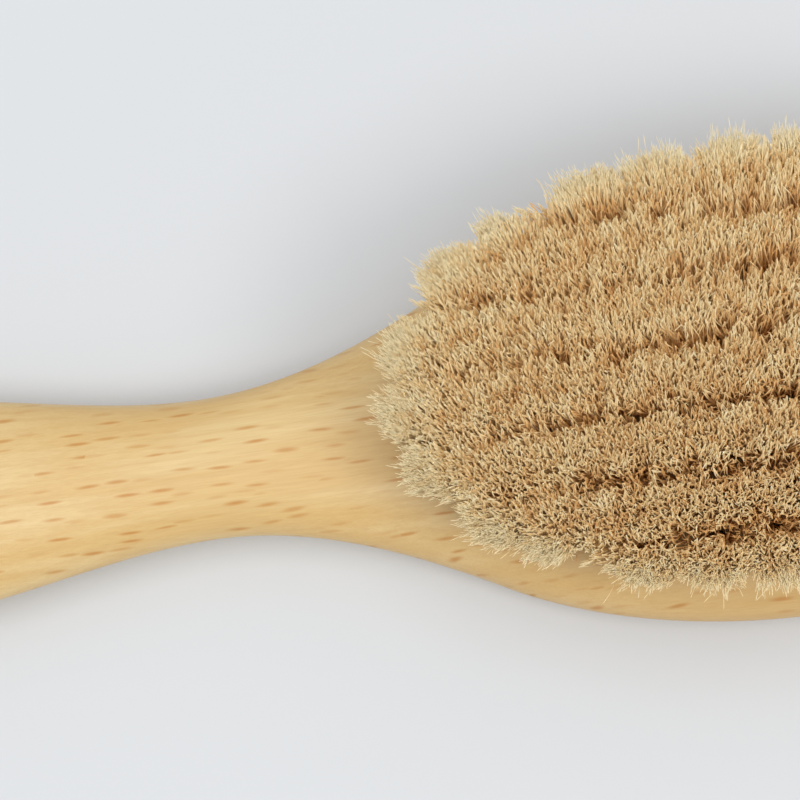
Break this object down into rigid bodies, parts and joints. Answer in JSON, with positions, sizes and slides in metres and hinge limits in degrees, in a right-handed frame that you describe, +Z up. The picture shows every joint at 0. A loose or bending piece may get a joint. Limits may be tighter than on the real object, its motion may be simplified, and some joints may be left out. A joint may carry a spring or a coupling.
{
  "type": "neck duster brush",
  "caption": "Hand brush with a bulbed wooden handle, an oval wooden head and straight rows of short soft hair tufts on its face.",
  "frame": {"origin": "on the surface that the flat back rests on, below the middle of the object's box", "axes": "+X along the brush from the handle's end to the head's tip, +Y across it, +Z up from the back through the hair"},
  "size_m": [0.188, 0.051, 0.028],
  "materials": {
    "beech": "satin",
    "goat_hair": "matte",
    "anchor_wire": "satin"
  },
  "bodies": {
    "root": {"handle_body": "beech", "tuft_row_1": "goat_hair", "tuft_row_2": "goat_hair", "tuft_row_3": "goat_hair", "tuft_row_4": "goat_hair", "tuft_row_5": "goat_hair", "tuft_row_6": "goat_hair", "tuft_row_7": "goat_hair"}
  },
  "joints": []
}
